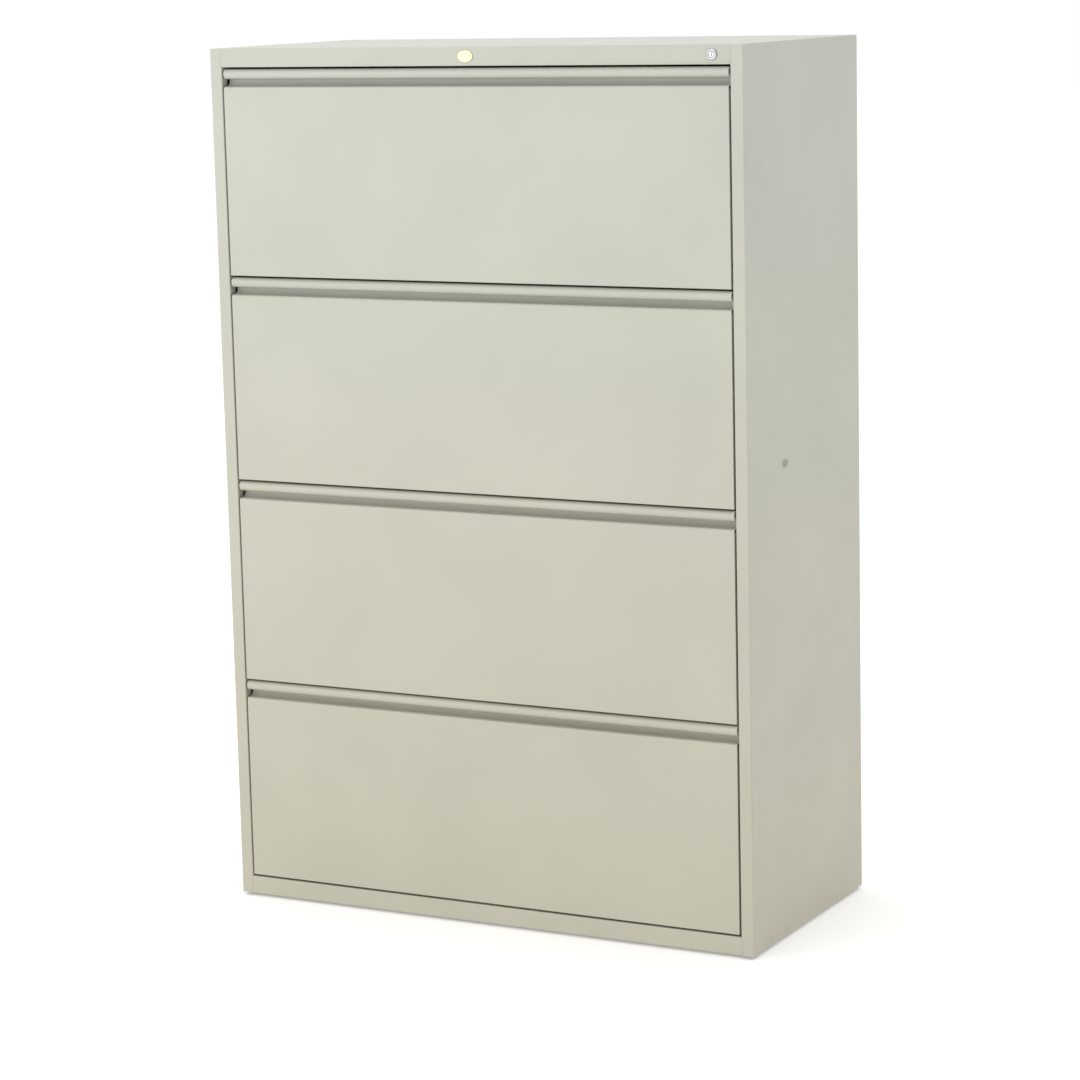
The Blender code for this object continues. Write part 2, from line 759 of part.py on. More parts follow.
def make_plug(empty):
    """Plug that the key turns, with its keyway and the stud for the cam."""
    shoulder = -BARREL_LENGTH - JOIN
    stud_end = -(CAM_SETBACK + CAM_SHEET)
    profile = [
        (0.0, LOCK_PROUD - 0.0004),
        (PLUG_RADIUS - 0.0004, LOCK_PROUD - 0.0004),
        (PLUG_RADIUS, LOCK_PROUD - 0.0008),
        (PLUG_RADIUS, shoulder),
        (STUD_RADIUS, shoulder),
        (STUD_RADIUS, stud_end),
        (0.0, stud_end),
    ]
    turn = Matrix.Rotation(math.pi / 2, 4, "X")
    plug = turned("lock_plug", profile, 24, CHROME, turn, parent=empty)
    keyway = box(
        "keyway",
        (-KEYWAY_WIDTH / 2, -LOCK_PROUD - KEYWAY_WIDTH, -KEYWAY_HEIGHT / 2),
        (KEYWAY_WIDTH / 2, -LOCK_PROUD + KEYWAY_DEPTH, KEYWAY_HEIGHT / 2),
        None,
        empty,
    )
    combine(plug, keyway, "DIFFERENCE")


def make_cam(empty):
    """Cam on the plug's stud, with the pin that drives the bar."""
    start = CAM_SETBACK
    hub = arc((0.0, 0.0), CAM_HUB, 170.0, 370.0, 10)
    tip = arc((0.0, CAM_THROW), CAM_END, 10.0, 170.0, 8)
    hole = arc((0.0, 0.0), STUD_RADIUS + JOIN, 0.0, 345.0, 23)
    cam = plate("lock_cam", [hub + tip, hole], "Y", start, start + CAM_SHEET, ZINC, empty)
    pin = cylinder(
        "cam_pin",
        PIN_RADIUS,
        "Y",
        (0.0, CAM_THROW),
        start + CAM_SHEET / 2,
        BAR_SETBACK + BAR_SHEET + JOIN,
        16,
        None,
        empty,
    )
    combine(cam, pin, "UNION")


def make_lock_bar(empty):
    """Flat bar that the cam lowers, with a tooth in front of each drawer's catch."""
    arm_end = -CAM_HUB
    arm_top = CAM_HUB + PIN_RADIUS
    inner = BAR_INNER - LOCK_X
    outer = inner + BAR_WIDTH
    tooth_end = BODY_HALF + TOOTH_END - LOCK_X
    drop = CAM_THROW * (math.sqrt(1 - 4 / math.pi**2) - math.acos(2 / math.pi) * 2 / math.pi)
    slot_low = -drop - PIN_RADIUS - JOIN
    arm_low = slot_low - CAM_END
    outline = [(outer, arm_top), (arm_end - PIN_RADIUS, arm_top), (arm_end - PIN_RADIUS, arm_low)]
    outline.append((inner, arm_low))
    for number in range(1, DRAWERS + 1):
        low = drawer_bottom(number) + CATCH_LEVEL + TOOTH_LIFT - LOCK_Z
        high = low + TOOTH_HEIGHT
        outline += [(inner, high), (tooth_end, high), (tooth_end, low), (inner, low)]
    outline += [(inner, low - BAR_TAIL), (outer, low - BAR_TAIL)]
    reach = PIN_RADIUS + JOIN
    slot = [(-reach, slot_low), (CAM_THROW + reach, slot_low)]
    slot += [(CAM_THROW + reach, reach), (-reach, reach)]
    rim, hole = ([(z, x) for x, z in points] for points in (outline, slot))
    plate("lock_bar", [rim, hole], "Y", BAR_SETBACK, BAR_SETBACK + BAR_SHEET, ZINC, empty)


def make_badge():
    """Blank domed oval badge on the middle of the header."""
    half = BADGE_WIDTH / 2
    profile = [
        (0.0, BADGE_THICKNESS),
        (half * 0.55, BADGE_THICKNESS * 0.93),
        (half * 0.85, BADGE_THICKNESS * 0.72),
        (half * 0.97, BADGE_THICKNESS * 0.45),
        (half, BADGE_THICKNESS * 0.2),
        (half, 0.0),
        (0.0, 0.0),
    ]
    place = facing_front(0.0, FRONT - JOIN, LOCK_Z)
    oval = Matrix.Diagonal((1.0, BADGE_HEIGHT / BADGE_WIDTH, 1.0, 1.0))
    turned("badge_plate", profile, 36, BRASS, place @ oval)


def make_drawer(number):
    """One drawer with its slides. The drawer and the middle members move on their own empties."""
    place = (0.0, FRONT, drawer_bottom(number))
    drawer_empty = joint_empty(f"drawer_{number}_origin", place)
    middle_empty = joint_empty(f"slides_{number}_origin", place)
    make_front(number, drawer_empty)
    make_body(number, drawer_empty)
    make_hang_rail(number, drawer_empty)
    make_slides(number, middle_empty, drawer_empty)


make_case_sides()
make_case_top()
make_case_back()
make_header()
make_base()
make_glides()
make_counterweight()
make_uprights()
for drawer_number in range(1, DRAWERS + 1):
    make_drawer(drawer_number)
make_lock_cylinder()
plug_origin = joint_empty("lock_plug_origin", (LOCK_X, FRONT, LOCK_Z))
make_plug(plug_origin)
make_cam(plug_origin)
make_lock_bar(joint_empty("lock_bar_origin", (LOCK_X, FRONT, LOCK_Z)))
make_badge()
bpy.context.view_layer.update()
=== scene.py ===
"""Four-drawer lateral filing cabinet in enamelled steel: its finished look.

The frame gives the places and sizes. Each section makes one piece, or a group of like pieces, in
the order in which the cabinet is put together. Lengths are metres.
"""

import math

import bmesh
import bpy
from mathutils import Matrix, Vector


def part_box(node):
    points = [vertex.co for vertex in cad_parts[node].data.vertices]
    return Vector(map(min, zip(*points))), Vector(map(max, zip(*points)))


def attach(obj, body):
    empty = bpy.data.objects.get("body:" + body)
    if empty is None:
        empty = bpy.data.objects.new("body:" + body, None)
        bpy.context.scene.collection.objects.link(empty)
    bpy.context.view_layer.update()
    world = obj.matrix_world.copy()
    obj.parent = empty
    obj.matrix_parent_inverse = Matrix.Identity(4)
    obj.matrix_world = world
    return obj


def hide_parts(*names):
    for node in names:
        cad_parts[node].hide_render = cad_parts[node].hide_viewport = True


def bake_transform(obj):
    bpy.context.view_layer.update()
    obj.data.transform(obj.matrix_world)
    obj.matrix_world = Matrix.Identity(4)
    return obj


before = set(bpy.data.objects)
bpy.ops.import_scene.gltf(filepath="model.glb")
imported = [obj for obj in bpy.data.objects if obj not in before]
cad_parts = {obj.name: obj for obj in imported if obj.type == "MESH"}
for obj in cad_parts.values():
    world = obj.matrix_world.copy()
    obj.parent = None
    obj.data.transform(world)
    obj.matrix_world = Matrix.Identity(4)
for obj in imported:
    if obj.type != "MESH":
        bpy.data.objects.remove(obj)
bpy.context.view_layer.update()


# ---- Side panels -------------------------------------------------------------------------------
# Each side is one 1.2 mm steel sheet. Its front edge is folded in to make the stile beside the
# drawers and then folded back, and its rear edge is folded in to make a flange for the back panel.
# The whole case is coated with a putty-coloured baked enamel.
CASE_SHEET = 0.0012
CASE_BEND = 0.0016
STILE_RETURN = 0.016
BACK_FLANGE = 0.018
ENAMEL_TOP = (0.444, 0.452, 0.392)
# Painted shade: the enamel takes a darker, yellower colour at the foot, blending up to its own
# colour between these two heights.
ENAMEL_SHADED_FOOT = (0.428, 0.408, 0.328)
PAINTED_SHADE_HEIGHTS = (0.15, 1.25)
ENAMEL_ROUGHNESS = (0.36, 0.47)
CLOUD = (0.96, 1.02)
CLOUD_SIZE = 0.22
DULL_SPOT_SIZE = 0.05
PANEL_WAVE = (0.18, 0.0006)
ORANGE_PEEL = (0.0016, 0.00003)
SCUFF_COLOUR = (0.24, 0.225, 0.18)
SCUFF_PLACE = (0.457, -0.078, 0.741)
SCUFF_REACH = (0.02, 0.017, 0.010)
SCUFF_RAGGEDNESS = 2.2
SCUFF_EDGE = (0.12, 0.4)
NOISE_MIDDLE = (0.3, 0.7)
LEAST_FOLD = 0.2


def plain_finish(name, colour, roughness, metallic=0.0):
    """A new material and its shader, ready for the patterns of the finish."""
    finish = bpy.data.materials.new(name)
    finish.use_nodes = True
    shader = finish.node_tree.nodes["Principled BSDF"]
    shader.inputs["Base Color"].default_value = (*colour, 1.0)
    shader.inputs["Roughness"].default_value = roughness
    shader.inputs["Metallic"].default_value = metallic
    return finish, shader


def wire(finish, output, socket):
    """Links one node's output to another's socket."""
    finish.node_tree.links.new(output, socket)


def node(finish, kind, **inputs):
    """Adds a node to the finish, with a value or a link for each named input."""
    made = finish.node_tree.nodes.new("ShaderNode" + kind)
    for name, value in inputs.items():
        socket = made.inputs[name.replace("_", " ")]
        if isinstance(value, bpy.types.NodeSocket):
            wire(finish, value, socket)
        else:
            socket.default_value = value
    return made


def grain(finish, size, stretch=(1.0, 1.0, 1.0), detail=2.0):
    """Noise with marks of about this size in metres, drawn out along the stretched axes."""
    place = node(finish, "TexCoord").outputs["Object"]
    fine = tuple(1.0 / (size * longer) for longer in stretch)
    scaled = node(finish, "Mapping", Vector=place, Scale=fine).outputs[0]
    return node(finish, "TexNoise", Vector=scaled, Scale=1.0, Detail=detail).outputs[0]


def levels(finish, noise, low, high):
    """Spreads the middle of a noise over a range."""
    least, most = NOISE_MIDDLE
    spread = node(finish, "MapRange", Value=noise, From_Min=least, From_Max=most)
    spread.inputs["To Min"].default_value = low
    spread.inputs["To Max"].default_value = high
    return spread.outputs[0]


def two_tone(finish, noise, dark, light):
    """Colour that wanders between two tones with a noise."""
    ramp = node(finish, "ValToRGB", Fac=noise)
    for stop, position, colour in zip(ramp.color_ramp.elements, NOISE_MIDDLE, (dark, light)):
        stop.position = position
        stop.color = (*colour, 1.0)
    return ramp.outputs[0]


def relief(finish, shader, *layers):
    """Surface texture: each layer is a height and how deep it is in metres."""
    normal = None
    for height, depth in layers:
        bump = node(finish, "Bump", Height=height, Distance=depth, Strength=1.0)
        if normal:
            wire(finish, normal, bump.inputs["Normal"])
        normal = bump.outputs[0]
    wire(finish, normal, shader.inputs["Normal"])


def scuff(finish, place, tone):
    """A dark, ragged rub mark in the paint at one place."""
    offset = tuple(-at / reach for at, reach in zip(SCUFF_PLACE, SCUFF_REACH))
    fine = tuple(1.0 / reach for reach in SCUFF_REACH)
    near = node(finish, "Mapping", Vector=place, Location=offset, Scale=fine).outputs[0]
    noise = node(finish, "TexNoise", Vector=near, Scale=SCUFF_RAGGEDNESS, Detail=4.0)
    spot = node(finish, "TexGradient", Vector=near)
    spot.gradient_type = "SPHERICAL"
    edge = node(finish, "MixRGB", Fac=0.5, Color1=spot.outputs[1], Color2=noise.outputs[0])
    edge.blend_type = "MULTIPLY"
    faint, full = SCUFF_EDGE
    mask = node(finish, "MapRange", Value=edge.outputs[0], From_Min=faint, From_Max=full)
    marked = node(finish, "MixRGB", Fac=mask.outputs[0], Color1=tone)
    marked.inputs["Color2"].default_value = (*SCUFF_COLOUR, 1.0)
    return marked.outputs[0]


def enamel(name, scuffed=False):
    """Baked enamel: painted shade, darker and yellower towards the foot; faintly cloudy; fine
    orange peel.
    """
    foot, top = PAINTED_SHADE_HEIGHTS
    finish, shader = plain_finish(name, ENAMEL_TOP, 0.42)
    place = node(finish, "TexCoord").outputs["Object"]
    # Painted shade: the colour blends from the darker, yellower foot colour up to the enamel's own
    # colour.
    height = node(finish, "SeparateXYZ", Vector=place).outputs["Z"]
    fade = node(finish, "MapRange", Value=height, From_Min=foot, From_Max=top)
    painted_foot_shade = node(finish, "MixRGB", Fac=fade.outputs[0])
    painted_foot_shade.inputs["Color1"].default_value = (*ENAMEL_SHADED_FOOT, 1.0)
    painted_foot_shade.inputs["Color2"].default_value = (*ENAMEL_TOP, 1.0)
    cloud = levels(finish, grain(finish, CLOUD_SIZE), *CLOUD)
    clouded = node(finish, "VectorMath", Vector=painted_foot_shade.outputs[0])
    clouded.operation = "SCALE"
    wire(finish, cloud, clouded.inputs["Scale"])
    tone = clouded.outputs[0]
    if scuffed:
        tone = scuff(finish, place, tone)
    wire(finish, tone, shader.inputs["Base Color"])
    dull = levels(finish, grain(finish, DULL_SPOT_SIZE, detail=4.0), *ENAMEL_ROUGHNESS)
    wire(finish, dull, shader.inputs["Roughness"])
    wave = grain(finish, PANEL_WAVE[0], detail=0.0), PANEL_WAVE[1]
    peel = grain(finish, ORANGE_PEEL[0], detail=1.0), ORANGE_PEEL[1]
    relief(finish, shader, wave, peel)
    return finish


def plane_between(name, low, high):
    """A flat sheet between two corners, facing along the axis on which they agree."""
    low, high = Vector(low), Vector(high)
    span = high - low
    facing = min(range(3), key=lambda axis: abs(span[axis]))
    turn = ((0.0, math.pi / 2, 0.0), (math.pi / 2, 0.0, 0.0), (0.0, 0.0, 0.0))[facing]
    reach = ((span.z, span.y), (span.x, span.z), (span.x, span.y))[facing]
    bpy.ops.object.select_all(action="DESELECT")
    bpy.ops.mesh.primitive_plane_add(size=1.0, location=(low + high) / 2, rotation=turn)
    part = bpy.context.object
    part.name = part.data.name = name
    part.scale = (*reach, 1.0)
    bpy.ops.object.transform_apply(location=True, rotation=True, scale=True)
    return part


def take(part):
    """Selects one piece and nothing else."""
    bpy.ops.object.select_all(action="DESELECT")
    part.select_set(True)
    bpy.context.view_layer.objects.active = part


def edit(part):
    """Opens a piece in edit mode."""
    take(part)
    bpy.ops.object.mode_set(mode="EDIT")


def done():
    """Leaves edit mode."""
    bpy.ops.object.mode_set(mode="OBJECT")


def select(part, kind, wanted):
    """In edit mode, selects the vertices, edges or faces for which wanted is true."""
    bpy.ops.mesh.select_mode(type=kind)
    bpy.ops.mesh.select_all(action="DESELECT")
    mesh = bmesh.from_edit_mesh(part.data)
    for item in {"VERT": mesh.verts, "EDGE": mesh.edges, "FACE": mesh.faces}[kind]:
        if wanted(item):
            item.select_set(True)
    bmesh.update_edit_mesh(part.data)


def lies_at(axis, value):
    """Tests whether all of an edge or a face lies at one place along an axis."""
    return lambda item: all(abs(corner.co[axis] - value) < 0.00001 for corner in item.verts)


def fold(part, axis, value, *moves):
    """Folds flanges from the sheet's open edge at this place: one extrusion for each."""
    at = lies_at(axis, value)
    select(part, "EDGE", lambda edge: edge.is_boundary and at(edge))
    for move in moves:
        bpy.ops.mesh.extrude_region_move(TRANSFORM_OT_translate={"value": move})


def fold_angle(edge):
    """How far the sheet turns at an edge, in radians, and 0 at an open edge."""
    return edge.calc_face_angle() if len(edge.link_faces) == 2 else 0.0


def round_folds(part, radius, wanted=lambda edge: True, segments=6):
    """Gives folds in the sheet their radius."""
    bpy.ops.mesh.select_all(action="SELECT")
    bpy.ops.mesh.normals_make_consistent(inside=False)
    select(part, "EDGE", lambda edge: fold_angle(edge) > LEAST_FOLD and wanted(edge))
    bpy.ops.mesh.bevel(offset=radius, segments=segments, affect="EDGES")


def shape(part, kind, **settings):
    """Adds a modifier to a piece and applies it."""
    bpy.context.view_layer.objects.active = part
    bpy.ops.object.modifier_add(type=kind)
    modifier = part.modifiers[-1]
    for name, value in settings.items():
        setattr(modifier, name, value)
    bpy.ops.object.modifier_apply(modifier=modifier.name)


def smooth(part, degrees=50.0):
    """Shades curves smooth and keeps the flats flat."""
    take(part)
    bpy.ops.object.shade_smooth_by_angle(angle=math.radians(degrees))
    shape(part, "WEIGHTED_NORMAL", keep_sharp=True)


def thicken(part, thickness, outward, edge=0.0002):
    """Gives the sheet its thickness behind its outward side, and eases the cut edges."""
    largest = max(part.data.polygons, key=lambda face: face.area)
    if largest.normal.dot(Vector(outward)) < 0.0:
        edit(part)
        bpy.ops.mesh.select_all(action="SELECT")
        bpy.ops.mesh.flip_normals()
        done()
    shape(part, "SOLIDIFY", thickness=thickness, offset=-1.0, use_even_offset=True)
    shape(
        part,
        "BEVEL",
        width=edge,
        segments=2,
        limit_method="ANGLE",
        angle_limit=math.radians(60.0),
    )
    smooth(part)


def coat(part, finish):
    """Gives a new piece its finish."""
    part.data.materials.clear()
    part.data.materials.append(finish)


def fit(part, finish, slot, body, *nodes):
    """Finishes a piece, sets it on its body and lets it stand for the frame's own pieces."""
    coat(part, finish)
    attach(part, body)
    if nodes:
        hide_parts(*nodes)


case_enamel = enamel("case_enamel")
scuffed_enamel = enamel("scuffed_enamel", scuffed=True)

for side, sign, finish in (("left", -1, case_enamel), ("right", 1, scuffed_enamel)):
    low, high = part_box(f"case_{side}_side")
    outer = high.x if sign > 0 else low.x
    panel = plane_between(f"{side}_side_panel", (outer, low.y, low.z), (outer, high.y, high.z))
    edit(panel)
    fold(panel, 1, low.y, (-sign * (high.x - low.x), 0.0, 0.0), (0.0, STILE_RETURN, 0.0))
    fold(panel, 1, high.y, (-sign * BACK_FLANGE, 0.0, 0.0))
    round_folds(panel, CASE_BEND)
    done()
    thicken(panel, CASE_SHEET, (sign, 0.0, 0.0))
    fit(panel, finish, "painted_steel", "case", f"case_{side}_side")


# ---- Header and base rails ---------------------------------------------------------------------
# Two folded rails join the sides above and below the drawers. They are butted to the stiles, and
# the joints are welded and dressed flush before the case is painted. The header holds the lock.
RAIL_LIP = 0.005
BASE_TOE = 0.009
LOCK_HOLE_RADIUS = 0.0068
LOCK_HOLE_DEPTH = 0.01
WELD_REACH = 0.0022
FINE_EDGE = 0.0001


def cut(part, cutter):
    """Cuts one piece out of another and throws the cutter away."""
    shape(part, "BOOLEAN", operation="DIFFERENCE", solver="EXACT", object=cutter)
    bpy.data.objects.remove(cutter, do_unlink=True)


low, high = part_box("header_rail")
lock_low, lock_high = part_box("lock_cylinder")
lock_centre = (lock_low + lock_high) / 2
header = plane_between("header_panel", (low.x, low.y, low.z), (high.x, low.y, high.z))
edit(header)
fold(header, 2, low.z, (0.0, high.y - low.y, 0.0), (0.0, 0.0, RAIL_LIP))
round_folds(header, CASE_BEND)
done()
thicken(header, CASE_SHEET, (0.0, -1.0, 0.0))
bpy.ops.mesh.primitive_cylinder_add(
    vertices=48,
    radius=LOCK_HOLE_RADIUS,
    depth=LOCK_HOLE_DEPTH,
    location=(lock_centre.x, low.y, lock_centre.z),
    rotation=(math.pi / 2, 0.0, 0.0),
)
cut(header, bpy.context.object)
fit(header, case_enamel, "painted_steel", "case", "header_rail")

base_low, base_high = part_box("base_rail")
base = plane_between(
    "base_panel", (base_low.x, base_low.y, base_low.z), (base_high.x, base_low.y, base_high.z)
)
edit(base)
fold(base, 2, base_high.z, (0.0, base_high.y - base_low.y, 0.0), (0.0, 0.0, -RAIL_LIP))
fold(base, 2, base_low.z, (0.0, BASE_TOE, 0.0))
round_folds(base, CASE_BEND)
done()
thicken(base, CASE_SHEET, (0.0, -1.0, 0.0))
fit(base, case_enamel, "painted_steel", "case", "base_rail")

# The header's face runs straight up to the top of the case. The base rail's bends at both edges.
welds = (("header", low, high, 0.0), ("base", base_low, base_high, CASE_BEND))
for rail, rail_low, rail_high, top_bend in welds:
    for side, end in (("left", rail_low.x), ("right", rail_high.x)):
        reach = sorted((end, end + math.copysign(WELD_REACH, end)))
        bead = plane_between(
            f"{rail}_{side}_weld",
            (reach[0], rail_low.y, rail_low.z + CASE_BEND),
            (reach[1], rail_low.y, rail_high.z - top_bend),
        )
        thicken(bead, CASE_SHEET, (0.0, -1.0, 0.0), edge=FINE_EDGE)
        fit(bead, case_enamel, "painted_steel", "case")


# ---- Top ---------------------------------------------------------------------------------------
# The top is a shallow pan with its edges folded down all round. It drops in between the sides and
# behind the header, flush with them, so that only a fine line shows round it.
low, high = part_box("case_top")
top = plane_between("top_panel", (low.x, low.y, high.z), (high.x, high.y, high.z))
edit(top)
select(top, "EDGE", lambda edge: edge.is_boundary)
bpy.ops.mesh.extrude_region_move(TRANSFORM_OT_translate={"value": (0.0, 0.0, low.z - high.z)})
round_folds(top, CASE_BEND)
done()
thicken(top, CASE_SHEET, (0.0, 0.0, 1.0))
fit(top, case_enamel, "painted_steel", "case", "case_top")


# ---- Back --------------------------------------------------------------------------------------
# A plain 1 mm sheet closes the back. It is spot-welded inside the side panels' flanges, and two
# shallow swages pressed across it keep it from drumming.
SWAGE_HEIGHT = 0.034
SWAGE_SLOPE = 0.006
SWAGE_DEPTH = 0.0045
SWAGE_END = 0.085
SWAGE_BEND = SWAGE_SLOPE * 0.3
BACK_SHEET = 0.001

low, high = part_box("case_back")
back = plane_between("back_panel", (low.x, high.y, low.z), (high.x, high.y, high.z))
edit(back)
swages = [low.z + (high.z - low.z) * share for share in (1 / 3, 2 / 3)]
cuts = []
for level in swages:
    cuts += [(2, level - SWAGE_HEIGHT / 2), (2, level + SWAGE_HEIGHT / 2)]
cuts += [(0, low.x + SWAGE_END), (0, high.x - SWAGE_END)]
for axis, value in cuts:
    bpy.ops.mesh.select_all(action="SELECT")
    across = Vector(1.0 if axis == at else 0.0 for at in range(3))
    bpy.ops.mesh.bisect(plane_co=across * value, plane_no=across)


def in_swage(face):
    """Tests whether a face of the back lies in one of its two swages."""
    middle = face.calc_center_median()
    inside = abs(middle.x) < high.x - SWAGE_END
    return inside and any(abs(middle.z - level) < SWAGE_HEIGHT / 2 for level in swages)


select(back, "FACE", in_swage)
bpy.ops.mesh.inset(thickness=SWAGE_SLOPE)
bpy.ops.transform.translate(value=(0.0, -SWAGE_DEPTH, 0.0))
round_folds(back, SWAGE_BEND, segments=3)
done()
thicken(back, BACK_SHEET, (0.0, 1.0, 0.0))
fit(back, case_enamel, "painted_steel", "case", "case_back")


# ---- Base pan and counterweight ----------------------------------------------------------------
# A deep pan between the sides carries the levelling glides, and a plate of hot-rolled steel lies
# on it so that a full drawer can't tip the cabinet. Both stay as the frame has them.
MILL_DARK = (0.045, 0.045, 0.05)
MILL_LIGHT = (0.11, 0.10, 0.10)
MILL_PATCH_SIZE = 0.03
MILL_DULL_SIZE = 0.012
MILL_ROUGHNESS = (0.45, 0.7)
MILL_SCALE = (0.002, 0.00008)


def dress(name, finish):
    """Gives a piece of the frame its finish."""
    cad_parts[name].material_slots[0].material = finish


mill_steel, shader = plain_finish("mill_steel", MILL_DARK, 0.55, 0.6)
patches = grain(mill_steel, MILL_PATCH_SIZE, detail=5.0)
patched = two_tone(mill_steel, patches, MILL_DARK, MILL_LIGHT)
wire(mill_steel, patched, shader.inputs["Base Color"])
dull = levels(mill_steel, grain(mill_steel, MILL_DULL_SIZE), *MILL_ROUGHNESS)
wire(mill_steel, dull, shader.inputs["Roughness"])
relief(mill_steel, shader, (grain(mill_steel, MILL_SCALE[0], detail=4.0), MILL_SCALE[1]))
dress("counterweight", mill_steel)
dress("base_pan", case_enamel)


# ---- Uprights and lock bar ---------------------------------------------------------------------
# The slotted uprights, the lock's nut, cam and bar are zinc-plated steel. The plate is bright but
# cloudy, with a faint yellow passivation and the drawing lines of the sheet under it.
ZINC_DARK = (0.50, 0.505, 0.49)
ZINC_LIGHT = (0.58, 0.59, 0.585)
ZINC_ROUGHNESS = (0.26, 0.42)
ZINC_CLOUD_SIZE = 0.018
DRAWN_LINE = (0.0012, 0.00002)
DRAWN_LINE_STRETCH = 25.0


def zinc(name, along):
    """Zinc plate on sheet that was rolled along one axis."""
    finish, shader = plain_finish(name, ZINC_LIGHT, 0.32, 1.0)
    drawn = tuple(DRAWN_LINE_STRETCH if axis == along else 1.0 for axis in "XYZ")
    cloud = grain(finish, ZINC_CLOUD_SIZE, detail=4.0)
    lines = grain(finish, DRAWN_LINE[0], stretch=drawn)
    wire(finish, two_tone(finish, cloud, ZINC_DARK, ZINC_LIGHT), shader.inputs["Base Color"])
    wire(finish, levels(finish, lines, *ZINC_ROUGHNESS), shader.inputs["Roughness"])
    relief(finish, shader, (lines, DRAWN_LINE[1]))
    return finish


zinc_up = zinc("zinc_plate_upright", "Z")
zinc_deep = zinc("zinc_plate_slide", "Y")
zinc_across = zinc("zinc_plate_rail", "X")
for name in ("lock_nut", "lock_cam", "lock_bar"):
    dress(name, zinc_up)
for end in ("front", "rear"):
    for side in ("left", "right"):
        dress(f"{end}_{side}_upright", zinc_up)


# ---- Levelling glides --------------------------------------------------------------------------
# Four glides hold the case 5 mm off the floor. Each is a black nylon foot moulded on a threaded
# zinc-plated stem, and the hexagon nut under the base pan sets its height.
NYLON = (0.018, 0.018, 0.019)
NYLON_DULL_SIZE = 0.002
NYLON_ROUGHNESS = (0.42, 0.6)
NYLON_PITS = (0.0008, 0.00004)
GLIDE_DROP = 0.005
FOOT_RADIUS = 0.015
STEM_RADIUS = 0.0048
STEM_ROOT = 0.0042
STEM_START = GLIDE_DROP * 1.5
THREAD_START = GLIDE_DROP * 1.8
THREAD_PITCH = 0.0015
NUT_RADIUS = 0.0085
NUT_HEIGHT = 0.006
NUT_CHAMFER = 0.0006
NUT_GAP = 0.0003


def turned(name, centre, facing, rings, vertices=32):
    """A turned piece, built up ring by ring: each is a radius and how far it stands out."""
    centre, facing = Vector(centre), Vector(facing)
    bpy.ops.object.select_all(action="DESELECT")
    bpy.ops.mesh.primitive_circle_add(
        vertices=vertices,
        radius=rings[0][0],
        fill_type="NGON",
        location=centre + facing * rings[0][1],
        rotation=facing.to_track_quat("Z", "Y").to_euler(),
    )
    part = bpy.context.object
    part.name = part.data.name = name
    bpy.ops.object.transform_apply(location=True, rotation=True, scale=True)
    edit(part)
    bpy.ops.mesh.select_mode(type="FACE")
    bpy.ops.mesh.select_all(action="SELECT")
    for (before, start), (radius, end) in zip(rings, rings[1:]):
        bpy.ops.mesh.extrude_region_move(
            TRANSFORM_OT_translate={"value": facing * (end - start)}
        )
        share = radius / before
        across = [share + (1.0 - share) * abs(along) for along in facing]
        bpy.ops.transform.resize(value=across, center_override=centre + facing * end)
    bpy.ops.mesh.select_all(action="SELECT")
    bpy.ops.mesh.normals_make_consistent(inside=False)
    done()
    return part


def moved_copy(part, name, move):
    """A copy of a piece with its own mesh, moved to another place."""
    take(part)
    bpy.ops.object.duplicate(linked=False)
    copy = bpy.context.object
    copy.name = copy.data.name = name
    copy.location = move
    bpy.ops.object.transform_apply(location=True, rotation=True, scale=True)
    return copy


def join(part, *others):
    """Makes several meshes one piece."""
    take(part)
    for other in others:
        other.select_set(True)
    bpy.ops.object.join()
    return part


nylon, shader = plain_finish("black_nylon", NYLON, 0.5)
dull = levels(nylon, grain(nylon, NYLON_DULL_SIZE), *NYLON_ROUGHNESS)
wire(nylon, dull, shader.inputs["Roughness"])
relief(nylon, shader, (grain(nylon, NYLON_PITS[0]), NYLON_PITS[1]))

low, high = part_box("front_left_glide")
origin = ((low.x + high.x) / 2, (low.y + high.y) / 2, 0.0)
nut_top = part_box("base_pan")[1].z - CASE_SHEET - NUT_GAP
foot = turned(
    "front_left_foot",
    origin,
    (0.0, 0.0, 1.0),
    [
        (FOOT_RADIUS - 0.0012, 0.0),
        (FOOT_RADIUS, 0.0010),
        (FOOT_RADIUS, 0.0030),
        (FOOT_RADIUS * 0.9, 0.0044),
        (FOOT_RADIUS * 0.62, 0.0054),
        (FOOT_RADIUS * 0.55, 0.0062),
        (FOOT_RADIUS * 0.55, 0.0100),
        (FOOT_RADIUS * 0.45, 0.0108),
    ],
)
smooth(foot, 40.0)
thread = [(STEM_ROOT, STEM_START)]
for turn in range(int((high.z - THREAD_START) / THREAD_PITCH)):
    start = THREAD_START + turn * THREAD_PITCH
    thread.append((STEM_RADIUS, start + THREAD_PITCH * 0.4))
    thread.append((STEM_ROOT, start + THREAD_PITCH * 0.9))
thread.append((STEM_ROOT * 0.85, high.z))
stem = turned("front_left_stem", origin, (0.0, 0.0, 1.0), thread, vertices=16)
nut = turned(
    "nut",
    origin,
    (0.0, 0.0, 1.0),
    [
        (NUT_RADIUS * 0.9, nut_top - NUT_HEIGHT),
        (NUT_RADIUS, nut_top - NUT_HEIGHT + NUT_CHAMFER),
        (NUT_RADIUS, nut_top - NUT_CHAMFER),
        (NUT_RADIUS * 0.9, nut_top),
    ],
    vertices=6,
)
join(stem, nut)
smooth(stem, 35.0)
for end in ("front", "rear"):
    for side in ("left", "right"):
        own_foot, own_stem = foot, stem
        if (end, side) != ("front", "left"):
            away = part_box(f"{end}_{side}_glide")[0] - low
            move = (away.x, away.y, 0.0)
            own_foot = moved_copy(foot, f"{end}_{side}_foot", move)
            own_stem = moved_copy(stem, f"{end}_{side}_stem", move)
        fit(own_foot, nylon, "glide_plastic", "case", f"{end}_{side}_glide")
        fit(own_stem, zinc_up, "zinc_plate", "case", f"{end}_{side}_glide")


